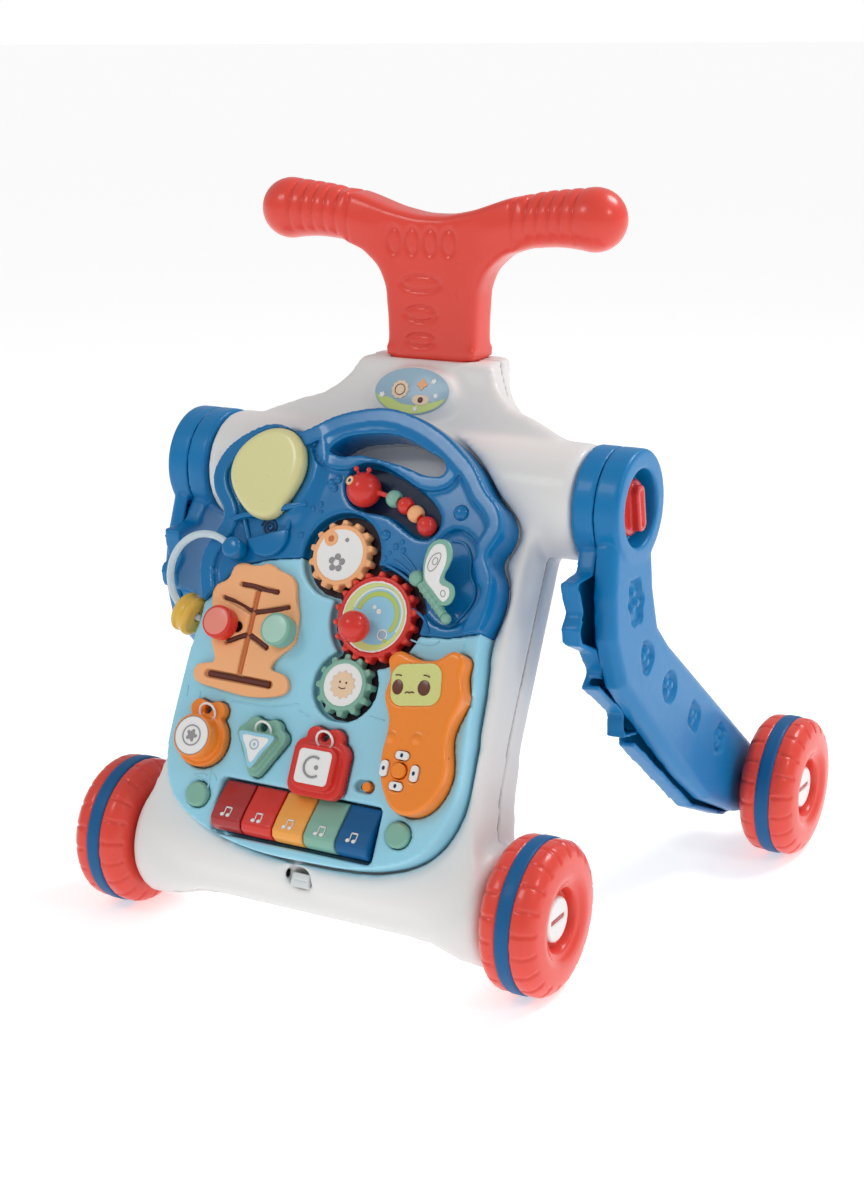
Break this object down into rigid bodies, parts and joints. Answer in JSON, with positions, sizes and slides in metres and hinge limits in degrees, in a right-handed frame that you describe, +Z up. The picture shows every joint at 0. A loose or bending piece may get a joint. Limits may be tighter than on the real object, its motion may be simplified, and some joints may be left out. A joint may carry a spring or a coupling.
{
  "type": "baby walker",
  "caption": "Push-along baby walker: wheeled A-frame with folding rear legs, Y-shaped push handle and a lift-off sloping activity tray of gears, keys, sliders and buttons.",
  "frame": {"origin": "centre of the footprint on the floor", "axes": "+Z up, the front (the tray side, towards the child playing) faces -Y, +X to the right seen from the front"},
  "size_m": [0.4534, 0.3786, 0.4702],
  "materials": {
    "white_body": "satin moulded plastic",
    "coral_red": "gloss moulded plastic",
    "deep_blue": "gloss moulded plastic",
    "light_blue": "satin moulded plastic",
    "band_blue": "soft rubber",
    "steel": "zinc plated",
    "white_trim": "gloss moulded plastic",
    "lens_yellow": "milky translucent plastic",
    "tree_peach": "satin moulded plastic",
    "sage_green": "satin moulded plastic",
    "toy_red": "gloss moulded plastic",
    "dark_red": "gloss moulded plastic",
    "toy_orange": "gloss moulded plastic",
    "key_yellow": "gloss moulded plastic",
    "tube_blue": "flexible translucent tube",
    "bead_yellow": "satin moulded plastic",
    "screen_green": "printed translucent plastic",
    "board": "circuit board with a speaker"
  },
  "bodies": {
    "root": {"front_shell": "white_body", "rear_shell": "white_body", "push_handle": "coral_red", "front_axle": "steel", "body_fasteners": "steel"},
    "leg_left": {"leg_outer_left": "deep_blue", "leg_inner_left": "deep_blue", "rear_axle_left": "steel"},
    "lock_knob_left": {"lock_knob_left": "toy_red"},
    "leg_right": {"leg_outer_right": "deep_blue", "leg_inner_right": "deep_blue", "rear_axle_right": "steel"},
    "lock_knob_right": {"lock_knob_right": "toy_red"},
    "wheel_front_left": {"wheel_front_left": "coral_red", "wheel_band_front_left": "band_blue", "hub_cap_front_left": "white_trim"},
    "wheel_front_right": {"wheel_front_right": "coral_red", "wheel_band_front_right": "band_blue", "hub_cap_front_right": "white_trim"},
    "wheel_rear_left": {"wheel_rear_left": "coral_red", "wheel_band_rear_left": "band_blue", "hub_cap_rear_left": "white_trim"},
    "wheel_rear_right": {"wheel_rear_right": "coral_red", "wheel_band_rear_right": "band_blue", "hub_cap_rear_right": "white_trim"},
    "tray": {"tray_upper_shell": "deep_blue", "tray_lower_shell": "light_blue", "tray_back_cover": "white_trim", "battery_door": "white_trim", "speaker_board": "board", "balloon_lens": "lens_yellow", "tree_plate": "tree_peach", "bead_loop": "tube_blue", "crawler": "toy_red"},
    "latch": {"tray_latch": "white_trim"},
    "gear_red": {"gear_red": "toy_red"},
    "gear_orange": {"gear_orange": "tree_peach"},
    "gear_green": {"gear_green": "sage_green"},
    "bead_green": {"bead_green": "sage_green"},
    "bead_red": {"bead_red": "toy_red"},
    "bead_orange": {"bead_orange": "tree_peach"},
    "tree_knob_red": {"tree_knob_red": "toy_red"},
    "tree_knob_green": {"tree_knob_green": "sage_green"},
    "loop_bead": {"loop_bead": "bead_yellow"},
    "piano_key_1": {"piano_key_1": "dark_red"},
    "piano_key_2": {"piano_key_2": "toy_red"},
    "piano_key_3": {"piano_key_3": "key_yellow"},
    "piano_key_4": {"piano_key_4": "sage_green"},
    "piano_key_5": {"piano_key_5": "deep_blue"},
    "corner_button_left": {"corner_button_left": "sage_green"},
    "corner_button_right": {"corner_button_right": "sage_green"},
    "shape_button_circle": {"shape_button_circle": "toy_orange"},
    "shape_button_triangle": {"shape_button_triangle": "sage_green"},
    "shape_button_square": {"shape_button_square": "dark_red"},
    "slide_switch": {"slide_switch": "toy_orange"},
    "butterfly_wing": {"butterfly_wing": "sage_green"},
    "handset": {"handset_shell": "toy_orange", "handset_screen": "screen_green"},
    "handset_center_key": {"handset_center_key": "toy_orange"},
    "handset_white_keys": {"handset_white_keys": "white_trim"}
  },
  "joints": [
    {"name": "leg_fold_left", "type": "hinge", "parent": "root", "child": "leg_left", "pos_m": [-0.142, -0.031, 0.28], "axis": [1, 0, 0], "range_deg": [-35, 0]},
    {"name": "lock_turn_left", "type": "hinge", "parent": "leg_left", "child": "lock_knob_left", "pos_m": [-0.158, -0.031, 0.28], "axis": [1, 0, 0], "range_deg": [0, 90]},
    {"name": "leg_fold_right", "type": "hinge", "parent": "root", "child": "leg_right", "pos_m": [0.142, -0.031, 0.28], "axis": [1, 0, 0], "range_deg": [-35, 0]},
    {"name": "lock_turn_right", "type": "hinge", "parent": "leg_right", "child": "lock_knob_right", "pos_m": [0.158, -0.031, 0.28], "axis": [1, 0, 0], "range_deg": [0, 90]},
    {"name": "spin_front_left", "type": "hinge", "parent": "root", "child": "wheel_front_left", "pos_m": [-0.15, -0.1405, 0.0488], "axis": [1, 0, 0], "continuous": true},
    {"name": "spin_front_right", "type": "hinge", "parent": "root", "child": "wheel_front_right", "pos_m": [0.15, -0.1405, 0.0488], "axis": [1, 0, 0], "continuous": true},
    {"name": "spin_rear_left", "type": "hinge", "parent": "leg_left", "child": "wheel_rear_left", "pos_m": [-0.2065, 0.1405, 0.0488], "axis": [1, 0, 0], "continuous": true},
    {"name": "spin_rear_right", "type": "hinge", "parent": "leg_right", "child": "wheel_rear_right", "pos_m": [0.2065, 0.1405, 0.0488], "axis": [1, 0, 0], "continuous": true},
    {"name": "tray_lift", "type": "slide", "parent": "root", "child": "tray", "axis": [0, -0.891, 0.454], "range_m": [0, 0.06]},
    {"name": "latch_slide", "type": "slide", "parent": "root", "child": "latch", "axis": [0, 0.454, 0.891], "range_m": [0, 0.0025]},
    {"name": "gear_spin_red", "type": "hinge", "parent": "tray", "child": "gear_red", "pos_m": [0.0254, -0.11421, 0.21204], "axis": [0, -0.891, 0.454], "continuous": true},
    {"name": "gear_spin_orange", "type": "hinge", "parent": "tray", "child": "gear_orange", "pos_m": [-0.00887, -0.09793, 0.24399], "axis": [0, -0.891, 0.454], "continuous": true},
    {"name": "gear_spin_green", "type": "hinge", "parent": "tray", "child": "gear_green", "pos_m": [0.01423, -0.13471, 0.17182], "axis": [0, -0.891, 0.454], "continuous": true},
    {"name": "bead_slide_green", "type": "hinge", "parent": "tray", "child": "bead_green", "pos_m": [-0.00296, -0.11666, 0.21496], "axis": [0, -0.891, 0.454], "range_deg": [0, 5]},
    {"name": "bead_slide_red", "type": "hinge", "parent": "tray", "child": "bead_red", "pos_m": [-0.00296, -0.11666, 0.21496], "axis": [0, -0.891, 0.454], "range_deg": [0, 5.2]},
    {"name": "bead_slide_orange", "type": "hinge", "parent": "tray", "child": "bead_orange", "pos_m": [-0.00296, -0.11666, 0.21496], "axis": [0, -0.891, 0.454], "range_deg": [0, 5.2]},
    {"name": "tree_slide_red", "type": "slide", "parent": "tray", "child": "tree_knob_red", "axis": [1, 0, 0], "range_m": [0, 0.0098]},
    {"name": "tree_slide_green", "type": "slide", "parent": "tray", "child": "tree_knob_green", "axis": [-1, 0, 0], "range_m": [0, 0.0098]},
    {"name": "loop_bead_slide", "type": "hinge", "parent": "tray", "child": "loop_bead", "pos_m": [-0.105, -0.11422, 0.22327], "axis": [0, -0.9763, 0.2164], "range_deg": [-50, 0]},
    {"name": "key_press_1", "type": "hinge", "parent": "tray", "child": "piano_key_1", "pos_m": [-0.046, -0.16667, 0.1069], "axis": [1, 0, 0], "range_deg": [0, 5], "stiffness_Nm_per_rad": 0.05},
    {"name": "key_press_2", "type": "hinge", "parent": "tray", "child": "piano_key_2", "pos_m": [-0.023, -0.16667, 0.1069], "axis": [1, 0, 0], "range_deg": [0, 5], "stiffness_Nm_per_rad": 0.05},
    {"name": "key_press_3", "type": "hinge", "parent": "tray", "child": "piano_key_3", "pos_m": [0, -0.16667, 0.1069], "axis": [1, 0, 0], "range_deg": [0, 5], "stiffness_Nm_per_rad": 0.05},
    {"name": "key_press_4", "type": "hinge", "parent": "tray", "child": "piano_key_4", "pos_m": [0.023, -0.16667, 0.1069], "axis": [1, 0, 0], "range_deg": [0, 5], "stiffness_Nm_per_rad": 0.05},
    {"name": "key_press_5", "type": "hinge", "parent": "tray", "child": "piano_key_5", "pos_m": [0.046, -0.16667, 0.1069], "axis": [1, 0, 0], "range_deg": [0, 5], "stiffness_Nm_per_rad": 0.05},
    {"name": "corner_press_left", "type": "slide", "parent": "tray", "child": "corner_button_left", "axis": [0, 0.891, -0.454], "range_m": [0, 0.0025], "stiffness_N_per_m": 150},
    {"name": "corner_press_right", "type": "slide", "parent": "tray", "child": "corner_button_right", "axis": [0, 0.891, -0.454], "range_m": [0, 0.0025], "stiffness_N_per_m": 150},
    {"name": "shape_press_circle", "type": "slide", "parent": "tray", "child": "shape_button_circle", "axis": [0, 0.891, -0.454], "range_m": [0, 0.0018], "stiffness_N_per_m": 150},
    {"name": "shape_press_triangle", "type": "slide", "parent": "tray", "child": "shape_button_triangle", "axis": [0, 0.891, -0.454], "range_m": [0, 0.0018], "stiffness_N_per_m": 150},
    {"name": "shape_press_square", "type": "slide", "parent": "tray", "child": "shape_button_square", "axis": [0, 0.891, -0.454], "range_m": [0, 0.0018], "stiffness_N_per_m": 150},
    {"name": "switch_slide", "type": "slide", "parent": "tray", "child": "slide_switch", "axis": [-1, 0, 0], "range_m": [0, 0.005]},
    {"name": "wing_turn", "type": "hinge", "parent": "tray", "child": "butterfly_wing", "pos_m": [0.0525, -0.10887, 0.23794], "axis": [0.7557, -0.2973, -0.5835], "range_deg": [-20, 65]},
    {"name": "handset_lift", "type": "slide", "parent": "tray", "child": "handset", "axis": [0, -0.891, 0.454], "range_m": [0, 0.05]},
    {"name": "handset_press_center", "type": "slide", "parent": "handset", "child": "handset_center_key", "axis": [0, 0.891, -0.454], "range_m": [0, 0.0015], "stiffness_N_per_m": 150},
    {"name": "handset_press_white", "type": "slide", "parent": "handset", "child": "handset_white_keys", "axis": [0, 0.891, -0.454], "range_m": [0, 0.0012], "stiffness_N_per_m": 150}
  ],
  "couplings": [
    {"joint": "gear_spin_orange", "follows": "gear_spin_red", "ratio": -1.2857},
    {"joint": "gear_spin_green", "follows": "gear_spin_red", "ratio": -1.5},
    {"joint": "bead_slide_red", "follows": "bead_slide_green", "ratio": 1},
    {"joint": "bead_slide_orange", "follows": "bead_slide_green", "ratio": 1}
  ]
}
